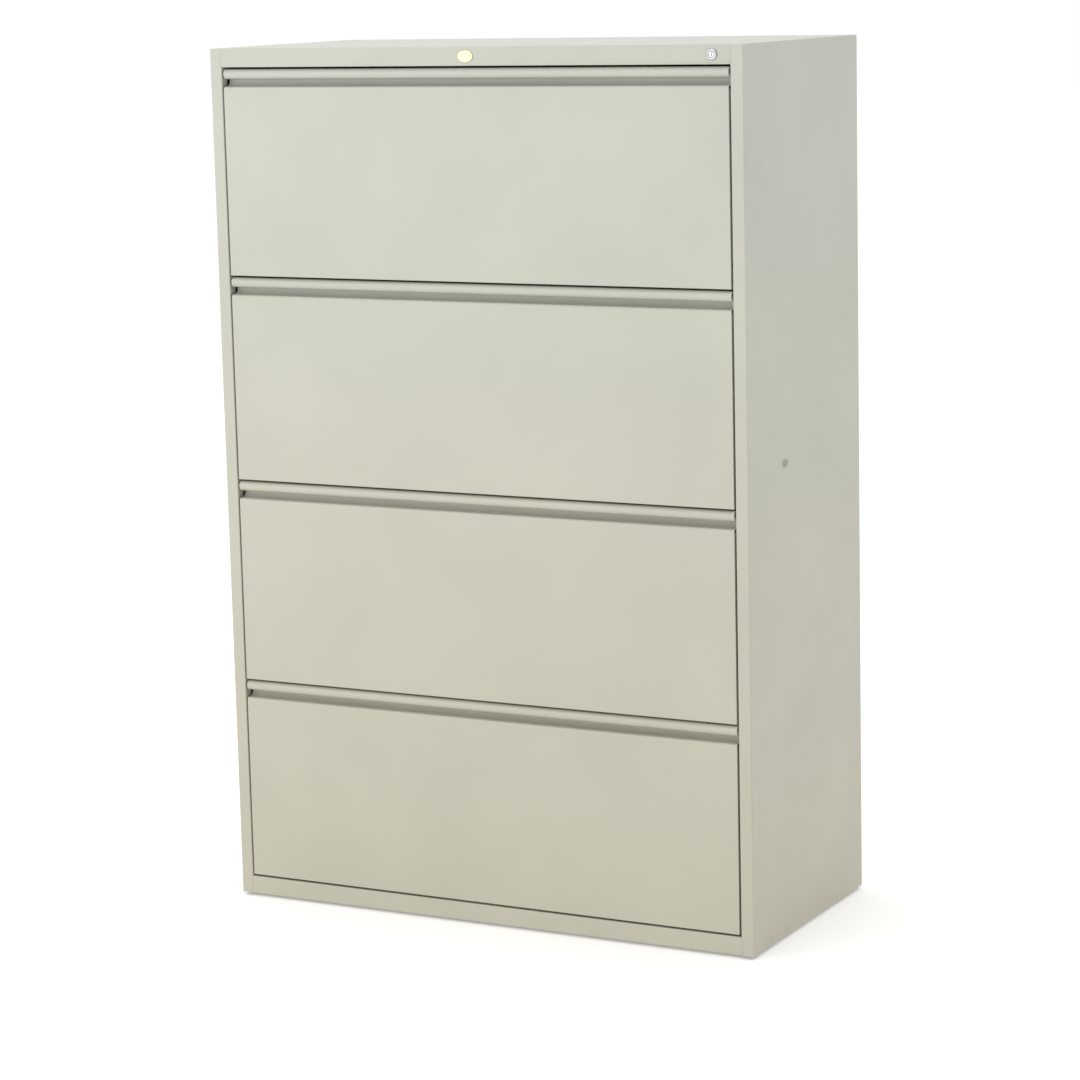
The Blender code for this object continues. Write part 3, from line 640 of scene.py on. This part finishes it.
# ---- Drawer fronts -----------------------------------------------------------------------------
# Each front is one folded sheet. Its top rolls forward into a full-width lip, the pull, over a
# recess for the fingers; below, the face runs down flat and folds back into a shallow pan.
LIP_RADIUS = 0.0078
LIP_TURN = 185.0
RECESS = 0.0175
LEDGE_BACK = 0.0255
LEDGE_FRONT = 0.0275
PAN_RETURN = 0.030
END_SET_IN = 0.0002
DRAWERS = (1, 2, 3, 4)


def tangent(radius, turn):
    """How far a fold of this radius runs along each flange, where the sheet turns this much."""
    return radius * math.tan(math.radians(turn) / 2)


def fit_each_drawer(part, finish, slot, kind):
    """Copies the top drawer's piece to the drawers below it, and fits all four."""
    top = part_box(f"drawer_1_{kind}")[0].z
    pieces = [part]
    for number in DRAWERS[1:]:
        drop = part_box(f"drawer_{number}_{kind}")[0].z - top
        name = part.name.replace("drawer_1", f"drawer_{number}")
        pieces.append(moved_copy(part, name, (0.0, 0.0, drop)))
    for number, piece in zip(DRAWERS, pieces):
        fit(piece, finish, slot, f"drawer_{number}", f"drawer_{number}_{kind}")


low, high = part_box("drawer_1_front")
face_top = high.z - LEDGE_FRONT
pan_depth = high.y - low.y
front = plane_between("drawer_1_face", (low.x, low.y, low.z), (high.x, low.y, face_top))
edit(front)
fold(front, 2, low.z, (0.0, pan_depth, 0.0), (0.0, 0.0, PAN_RETURN))
fold(
    front,
    2,
    face_top,
    (0.0, RECESS, LEDGE_FRONT - LEDGE_BACK),
    (0.0, 0.0, LEDGE_BACK - CASE_SHEET),
    (0.0, LIP_RADIUS - RECESS, 0.0),
)
bpy.ops.mesh.spin(
    steps=20,
    angle=-math.radians(LIP_TURN),
    center=(0.0, low.y + LIP_RADIUS, high.z - LIP_RADIUS),
    axis=(1.0, 0.0, 0.0),
)
ledge_slope = math.degrees(math.atan2(LEDGE_FRONT - LEDGE_BACK, RECESS))
sharp_folds = (
    (low.y, face_top, tangent(LIP_RADIUS / 2, 90.0 - ledge_slope), 6),
    (low.y + RECESS, high.z - LEDGE_BACK, tangent(LIP_RADIUS, 90.0 - ledge_slope), 8),
    (low.y + RECESS, high.z - CASE_SHEET, CASE_BEND, 5),
    (low.y, low.z, CASE_BEND, 5),
    (high.y, low.z, CASE_BEND, 5),
)
for fold_y, fold_z, reach, segments in sharp_folds:
    at_y, at_z = lies_at(1, fold_y), lies_at(2, fold_z)
    round_folds(front, reach, lambda edge: at_y(edge) and at_z(edge), segments)
done()
thicken(front, CASE_SHEET, (0.0, -1.0, 0.0))
for sign, end in ((-1, low.x), (1, high.x)):
    at = end - sign * END_SET_IN
    plate = plane_between(
        "end_plate",
        (at, low.y + CASE_SHEET, low.z + CASE_SHEET),
        (at, high.y - CASE_SHEET, face_top - LIP_RADIUS / 2),
    )
    thicken(plate, CASE_SHEET, (sign, 0.0, 0.0))
    join(front, plate)

fit_each_drawer(front, case_enamel, "painted_steel", "front")


# ---- Drawer bodies -----------------------------------------------------------------------------
# Each body is a tray of 1 mm sheet, spot-welded behind its front. The front wall stands higher
# than the rest and comes down in a gusset at each side, the rim is hemmed inwards so that it is
# safe to touch, and ribs pressed from front to back in the floor stiffen it under the files.
BODY_SHEET = 0.001
BODY_BEND = 0.00115
BODY_EDGE = 0.00015
STEEPEST_RIB = 1.0
WALL_DROP = 0.0344
GUSSET = 0.034
HEM_REACH = 0.0026
HEM_HEIGHT = 0.007
RIBS = (-0.30, -0.10, 0.10, 0.30)
RIB_WIDTH = 0.026
RIB_SLOPE = 0.006
RIB_HEIGHT = 0.0022
RIB_BEND = 0.0022
RIB_END = 0.040
CATCH_SHEET = 0.0025
CATCH_BEND = CATCH_SHEET * 1.2
CATCH_FLANGE = 0.020
CATCH_DROP = 0.044
CATCH_HEIGHT = 0.008
TOOTH_PLAY = 0.0015
RIVET_RADIUS = 0.0022
RIVET_PLACES = (0.5, 0.8)


def rivet_heads(name, places, facing, radius, height):
    """Domed rivet heads in one piece."""
    dome = ((0.97, 0.0), (1.0, 0.15), (0.9, 0.55), (0.68, 0.83), (0.36, 0.97), (0.06, 1.0))
    rings = [(radius * across, height * out) for across, out in dome]
    heads = [turned(name, place, facing, rings, vertices=16) for place in places]
    return join(*heads)


low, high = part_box("drawer_1_body")
half = -low.x
wall_top = high.z - WALL_DROP
bpy.ops.object.select_all(action="DESELECT")
bpy.ops.mesh.primitive_cube_add(
    size=1.0, location=(0.0, (low.y + high.y) / 2, (low.z + wall_top) / 2)
)
tray = bpy.context.object
tray.name = tray.data.name = "drawer_1_tray"
tray.scale = (2 * half, high.y - low.y, wall_top - low.z)
bpy.ops.object.transform_apply(location=True, rotation=True, scale=True)
edit(tray)
floor_cuts = [(1, low.y + RIB_END), (1, high.y - RIB_END)]
for middle in RIBS:
    floor_cuts += [(0, middle - RIB_WIDTH / 2), (0, middle + RIB_WIDTH / 2)]
for axis, value in floor_cuts:
    select(tray, "FACE", lambda face: face.normal.z < -0.9)
    across = Vector(1.0 if axis == at else 0.0 for at in range(3))
    bpy.ops.mesh.bisect(plane_co=across * value, plane_no=across)


def is_rib(face):
    """Tests whether a face of the floor is one of its ribs."""
    middle = face.calc_center_median()
    across = any(abs(middle.x - rib) < RIB_WIDTH / 2 for rib in RIBS)
    return face.normal.z < -0.9 and across and low.y + RIB_END < middle.y < high.y - RIB_END


select(tray, "FACE", is_rib)
bpy.ops.mesh.inset(thickness=RIB_SLOPE)
bpy.ops.transform.translate(value=(0.0, 0.0, RIB_HEIGHT))
select(
    tray,
    "EDGE",
    lambda edge: LEAST_FOLD < fold_angle(edge) < STEEPEST_RIB
    and edge.verts[0].co.z < low.z + RIB_SLOPE,
)
bpy.ops.mesh.bevel(offset=RIB_BEND, segments=3, affect="EDGES")
select(tray, "FACE", lambda face: face.normal.z > 0.9)
bpy.ops.mesh.bisect(plane_co=(0.0, low.y + GUSSET, 0.0), plane_no=(0.0, 1.0, 0.0))
at_front, at_top = lies_at(1, low.y), lies_at(2, wall_top)
select(tray, "EDGE", lambda edge: at_front(edge) and at_top(edge))
bpy.ops.transform.translate(value=(0.0, 0.0, WALL_DROP))
select(
    tray,
    "FACE",
    lambda face: face.normal.z > 0.3 and face.calc_center_median().z > wall_top - HEM_REACH,
)
bpy.ops.mesh.inset(thickness=HEM_REACH)
bpy.ops.mesh.extrude_region_move(TRANSFORM_OT_translate={"value": (0.0, 0.0, -HEM_HEIGHT)})
bpy.ops.mesh.delete(type="FACE")
select(tray, "EDGE", lambda edge: fold_angle(edge) > STEEPEST_RIB)
bpy.ops.mesh.bevel(offset=BODY_BEND, segments=3, affect="EDGES")
done()
thicken(tray, BODY_SHEET, (0.0, -1.0, 0.0), edge=BODY_EDGE)

catch_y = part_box("lock_bar")[1].y + TOOTH_PLAY
catch_top = wall_top - CATCH_DROP
catch = plane_between(
    "catch",
    (half, catch_y, catch_top - CATCH_HEIGHT),
    (half, catch_y + CATCH_FLANGE, catch_top),
)
edit(catch)
fold(catch, 1, catch_y, (high.x - half, 0.0, 0.0))
round_folds(catch, CATCH_BEND)
done()
thicken(catch, CATCH_SHEET, (-1.0, 0.0, 0.0))
places = [
    (half + CATCH_SHEET, catch_y + CATCH_FLANGE * share, catch_top - CATCH_HEIGHT / 2)
    for share in RIVET_PLACES
]
rivets = rivet_heads("catch_rivets", places, (1.0, 0.0, 0.0), RIVET_RADIUS, RIVET_RADIUS / 2)
smooth(rivets)
join(tray, catch, rivets)

fit_each_drawer(tray, case_enamel, "painted_steel", "body")


# ---- Hanging rails -----------------------------------------------------------------------------
# A zinc-plated channel crosses each body near its back. The hooks of letter-size folders hang
# from it and from the body's front wall.
low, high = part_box("drawer_1_hang_rail")
rail = plane_between(
    "drawer_1_folder_rail",
    (low.x + HEM_REACH, low.y, high.z),
    (high.x - HEM_REACH, high.y, high.z),
)
edit(rail)
for edge_y in (low.y, high.y):
    fold(rail, 1, edge_y, (0.0, 0.0, low.z - high.z))
round_folds(rail, CASE_BEND)
done()
thicken(rail, BODY_SHEET, (0.0, 0.0, 1.0))
fit_each_drawer(rail, zinc_across, "zinc_plate", "hang_rail")


# ---- Slides ------------------------------------------------------------------------------------
# Each drawer runs on two full-extension slides of rolled, zinc-plated steel. The cabinet member
# hooks into the uprights and the drawer member is riveted to the body. The middle member runs
# between them on four rows of steel balls, each row kept apart by its cage.
SLIDE_SHEET = 0.0012
# Each member: how far in from the case its web and its lips lie, half its height, and its curl.
MEMBERS = {
    "cabinet": (0.0, 0.0090, 0.0225, 0.0019),
    "middle": (0.0018, 0.0108, 0.0183, 0.0017),
    "drawer": (0.0126, 0.0036, 0.0144, 0.0),
}
SLIDE_BEND = 0.0022
CURL_BEND = SLIDE_SHEET + 0.0004
SLIDE_HOLE_RADIUS = 0.0026
SLIDE_HOLES = (0.12, 0.38, 0.62, 0.88)
SLIDE_RIVETS = (0.06, 0.5, 0.94)
SLIDE_RIVET_RADIUS = 0.0034
SLIDE_RIVET_HEIGHT = 0.0012
# Each pair of rows: how far in and how far from the middle it runs, the balls' radius, and where
# along the slide it starts.
BALL_ROWS = {
    "outer": (0.0050, 0.0198, 0.0015, 0.30),
    "inner": (0.0076, 0.01575, 0.00135, 0.62),
}
BALLS = 8
BALL_STEP = 0.012
CAGE_SHEET = 0.0005
CAGE_WIDTH = 0.0024
BALL_STEEL = (0.72, 0.72, 0.73)
BALL_DULL_SIZE = 0.002
BALL_ROUGHNESS = (0.12, 0.24)
# A cage moves by the mean of the two members that its balls roll on: a quarter of the drawer's
# travel, or three quarters. The ends of a blend far longer than the travel are worked out for each
# cage, at the share of its length where it takes half of the middle member's travel, or three
# quarters of the drawer's. They are not used: the cages are set on no blend and no body, and stay
# where they lie at rest.
FAR = 1000.0
CAGE_SHARES = {"outer": 0.5, "inner": 0.6736}


def slide_member(name, kind, sign, outer, level, start, end):
    """One rolled member of a slide, with the holes for its screws."""
    web, lip, tall, curl = MEMBERS[kind]
    web, lip = outer - sign * web, outer - sign * lip
    part = plane_between(name, (web, start, level - tall), (web, end, level + tall))
    edit(part)
    for up in (-1, 1):
        moves = [(lip - web, 0.0, 0.0)]
        if curl:
            moves.append((0.0, 0.0, -up * curl))
        fold(part, 2, level + up * tall, *moves)
    round_folds(part, CURL_BEND if curl else SLIDE_BEND, segments=4)
    done()
    thicken(part, SLIDE_SHEET, (-sign if kind == "drawer" else sign, 0.0, 0.0))
    for share in SLIDE_HOLES:
        bpy.ops.object.select_all(action="DESELECT")
        bpy.ops.mesh.primitive_cylinder_add(
            vertices=20,
            radius=SLIDE_HOLE_RADIUS,
            depth=4 * SLIDE_SHEET,
            location=(web, start + (end - start) * share, level),
            rotation=(0.0, math.pi / 2, 0.0),
        )
        cut(part, bpy.context.object)
    return part


def ball_cage(name, kind, sign, outer, level, start, length):
    """The cages and balls above and below one member of a slide, as one piece."""
    inset, rise, ball, place = BALL_ROWS[kind]
    x, y = outer - sign * inset, start + length * place
    pieces = []
    for up in (-1, 1):
        z = level + up * rise
        strip = plane_between(
            name,
            (x - CAGE_WIDTH / 2, y - BALL_STEP, z + CAGE_SHEET / 2),
            (x + CAGE_WIDTH / 2, y + BALLS * BALL_STEP, z + CAGE_SHEET / 2),
        )
        thicken(strip, CAGE_SHEET, (0.0, 0.0, 1.0), edge=FINE_EDGE)
        pieces.append(strip)
        for count in range(BALLS):
            bpy.ops.object.select_all(action="DESELECT")
            bpy.ops.mesh.primitive_ico_sphere_add(
                subdivisions=2, radius=ball, location=(x, y + count * BALL_STEP, z)
            )
            bpy.ops.object.shade_smooth()
            pieces.append(bpy.context.object)
    cage = join(*pieces)
    bpy.ops.object.transform_apply(location=True, rotation=True, scale=True)
    return cage


ball_steel, shader = plain_finish("ball_steel", BALL_STEEL, 0.16, 1.0)
dull = levels(ball_steel, grain(ball_steel, BALL_DULL_SIZE), *BALL_ROUGHNESS)
wire(ball_steel, dull, shader.inputs["Roughness"])

for side, sign in (("left", -1), ("right", 1)):
    low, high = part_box(f"drawer_1_{side}_cabinet_slide")
    outer = high.x if sign > 0 else low.x
    level = (low.z + high.z) / 2
    pieces = {}
    for kind in MEMBERS:
        start, end = (corner.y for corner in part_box(f"drawer_1_{side}_{kind}_slide"))
        name = f"drawer_1_{side}_{kind}_member"
        pieces[kind] = slide_member(name, kind, sign, outer, level, start, end)
    web = outer - sign * (MEMBERS["drawer"][0] - SLIDE_SHEET)
    places = [(web, low.y + (high.y - low.y) * share, level) for share in SLIDE_RIVETS]
    heads = rivet_heads(
        "rivets", places, (sign, 0.0, 0.0), SLIDE_RIVET_RADIUS, SLIDE_RIVET_HEIGHT
    )
    smooth(heads)
    join(pieces["drawer"], heads)
    for kind in BALL_ROWS:
        name = f"drawer_1_{side}_{kind}_cage"
        pieces[kind] = ball_cage(name, kind, sign, outer, level, low.y, high.y - low.y)
    for number in DRAWERS:
        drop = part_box(f"drawer_{number}_{side}_cabinet_slide")[0].z - low.z
        for kind, part in pieces.items():
            own = part
            if number > 1:
                name = part.name.replace("drawer_1", f"drawer_{number}")
                own = moved_copy(part, name, (0.0, 0.0, drop))
            coat(own, zinc_deep if kind in MEMBERS else ball_steel)
            bodies = {"cabinet": "case", "middle": f"slides_{number}", "outer": f"slides_{number}"}
            body = bodies.get(kind, f"drawer_{number}")
            if kind in MEMBERS:
                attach(own, body)
                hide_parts(f"drawer_{number}_{side}_{kind}_slide")
            else:
                start = (0.0, 0.0, -FAR * CAGE_SHARES[kind])
                end = (0.0, 0.0, FAR * (1.0 - CAGE_SHARES[kind]))
                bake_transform(own)


# ---- Lock --------------------------------------------------------------------------------------
# A nickel-chrome cylinder lock is held in the header by the nut behind it. The key turns the plug
# through a quarter turn, and the cam on its stud lets down the bar that holds all the drawers.
CHROME = (0.55, 0.556, 0.554)
CHROME_DULL_SIZE = 0.003
CHROME_ROUGHNESS = (0.08, 0.2)
CHROME_PITS = (0.0006, 0.000004)
FLANGE_RADIUS = 0.008
BARREL_RADIUS = 0.0065
PLUG_RADIUS = 0.0044
PLUG_GAP = 0.0002
BORE_RADIUS = PLUG_RADIUS + PLUG_GAP
STUD_RADIUS = 0.0025
STUD_LENGTH = 0.004
KEYWAY = (0.0012, 0.016, 0.0056)

chrome, shader = plain_finish("chrome", CHROME, 0.12, 1.0)
dull = levels(chrome, grain(chrome, CHROME_DULL_SIZE), *CHROME_ROUGHNESS)
wire(chrome, dull, shader.inputs["Roughness"])
relief(chrome, shader, (grain(chrome, CHROME_PITS[0]), CHROME_PITS[1]))

face = Vector((lock_centre.x, lock_low.y, lock_centre.z))
back = lock_high.y - lock_low.y
bezel = turned(
    "lock_bezel",
    face,
    (0.0, -1.0, 0.0),
    [
        (BORE_RADIUS, -back),
        (BARREL_RADIUS, -back),
        (BARREL_RADIUS, -0.0028),
        (FLANGE_RADIUS, -0.0027),
        (FLANGE_RADIUS, -0.0014),
        (FLANGE_RADIUS - 0.0004, -0.0006),
        (FLANGE_RADIUS - 0.0012, -0.0001),
        (FLANGE_RADIUS - 0.0018, 0.0),
        (FLANGE_RADIUS - 0.0026, -0.0002),
        (BORE_RADIUS + 0.0003, -0.0006),
        (BORE_RADIUS, -0.0010),
        (BORE_RADIUS, -0.0060),
    ],
    vertices=48,
)
smooth(bezel, 40.0)
fit(bezel, chrome, "chrome", "case", "lock_cylinder")

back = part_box("lock_plug")[1].y - face.y
plug = turned(
    "lock_plug_face",
    face,
    (0.0, -1.0, 0.0),
    [
        (STUD_RADIUS, -back),
        (STUD_RADIUS, -back + STUD_LENGTH),
        (PLUG_RADIUS, -back + STUD_LENGTH),
        (PLUG_RADIUS, -0.0009),
        (PLUG_RADIUS - 0.0003, -0.0005),
        (PLUG_RADIUS - 0.0012, -0.0004),
    ],
)
bpy.ops.object.select_all(action="DESELECT")
bpy.ops.mesh.primitive_cube_add(size=1.0, location=face)
keyway = bpy.context.object
keyway.scale = KEYWAY
bpy.ops.object.transform_apply(location=True, rotation=True, scale=True)
cut(plug, keyway)
smooth(plug, 40.0)
fit(plug, chrome, "chrome", "lock_plug", "lock_plug")


# ---- Badge -------------------------------------------------------------------------------------
# A blank oval plate of pale polished brass, with a fine raised rim round a gently domed field, is
# pinned to the middle of the header.
BRASS_DEEP = (0.68, 0.64, 0.30)
BRASS_PALE = (0.80, 0.79, 0.44)
BRASS_PATCH_SIZE = 0.006
BRASS_DULL_SIZE = 0.002
BRASS_ROUGHNESS = (0.2, 0.34)

brass, shader = plain_finish("pale_brass", BRASS_PALE, 0.25, 1.0)
patches = grain(brass, BRASS_PATCH_SIZE, detail=3.0)
wire(brass, two_tone(brass, patches, BRASS_DEEP, BRASS_PALE), shader.inputs["Base Color"])
dull = levels(brass, grain(brass, BRASS_DULL_SIZE), *BRASS_ROUGHNESS)
wire(brass, dull, shader.inputs["Roughness"])
low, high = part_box("badge_plate")
wide, tall = high.x - low.x, high.z - low.z
deep = high.y - low.y
badge = turned(
    "blank_badge",
    ((low.x + high.x) / 2, high.y, (low.z + high.z) / 2),
    (0.0, -1.0, 0.0),
    [
        (wide * 0.49, 0.0),
        (wide * 0.5, deep * 0.2),
        (wide * 0.5, deep * 0.55),
        (wide * 0.485, deep * 0.85),
        (wide * 0.468, deep * 0.93),
        (wide * 0.448, deep * 0.85),
        (wide * 0.435, deep * 0.6),
        (wide * 0.40, deep * 0.62),
        (wide * 0.30, deep * 0.76),
        (wide * 0.18, deep * 0.92),
        (wide * 0.06, deep),
    ],
    vertices=64,
)
edit(badge)
bpy.ops.mesh.select_all(action="SELECT")
bpy.ops.transform.resize(value=(1.0, 1.0, tall / wide), center_override=(low + high) / 2)
done()
smooth(badge, 50.0)
fit(badge, brass, "pale_brass", "case", "badge_plate")


# ---- Studio ------------------------------------------------------------------------------------
# A pale floor under a white sky that lights everything evenly, one large soft lamp in front of the
# cabinet on its left, and another straight above it.
CAMERA_PLACE = (2.4356, -4.6165, 1.5018)
CAMERA_TURN = (80.006, 1.312, 27.635)
CAMERA_LENS = 110.32
FLOOR_SIZE = 60.0
PAPER = (0.80, 0.80, 0.79)
PAPER_TOOTH = (0.01, 0.0001)
PAPER_GLOW = (0.26, 0.26, 0.255)
# Each lamp: its place, what it points at, its width and its watts.
LAMPS = {
    "key": ((-1.7, -3.1, 1.7), (0.0, -0.2, 0.7), 3.4, 44.0),
    "overhead": ((0.0, 0.3, 4.2), (0.0, 0.3, 0.0), 2.0, 34.0),
}

bpy.ops.object.select_all(action="DESELECT")
bpy.ops.mesh.primitive_plane_add(size=FLOOR_SIZE)
floor = bpy.context.object
floor.name = "floor"
paper, shader = plain_finish("white_paper", PAPER, 0.9)
shader.inputs["Emission Color"].default_value = (*PAPER_GLOW, 1.0)
shader.inputs["Emission Strength"].default_value = 1.0
relief(paper, shader, (grain(paper, PAPER_TOOTH[0]), PAPER_TOOTH[1]))
floor.data.materials.append(paper)

world = bpy.data.worlds.new("studio")
bpy.context.scene.world = world
world.use_nodes = True
sky = world.node_tree.nodes["Background"]
sky.inputs["Color"].default_value = (1.0, 1.0, 1.0, 1.0)
sky.inputs["Strength"].default_value = 1.0

for name, (place, aim, size, power) in LAMPS.items():
    lamp = bpy.data.objects.new(name, bpy.data.lights.new(name, "AREA"))
    bpy.context.scene.collection.objects.link(lamp)
    lamp.data.shape = "SQUARE"
    lamp.data.size = size
    lamp.data.energy = power
    lamp.location = place
    lamp.rotation_euler = (Vector(aim) - lamp.location).to_track_quat("-Z", "Y").to_euler()

camera = bpy.data.objects.new("camera", bpy.data.cameras.new("camera"))
bpy.context.scene.collection.objects.link(camera)
camera.location = CAMERA_PLACE
camera.rotation_euler = [math.radians(angle) for angle in CAMERA_TURN]
camera.data.lens = CAMERA_LENS
camera.data.sensor_width = 36.0
bpy.context.scene.camera = camera
bpy.context.scene.view_settings.view_transform = "Standard"
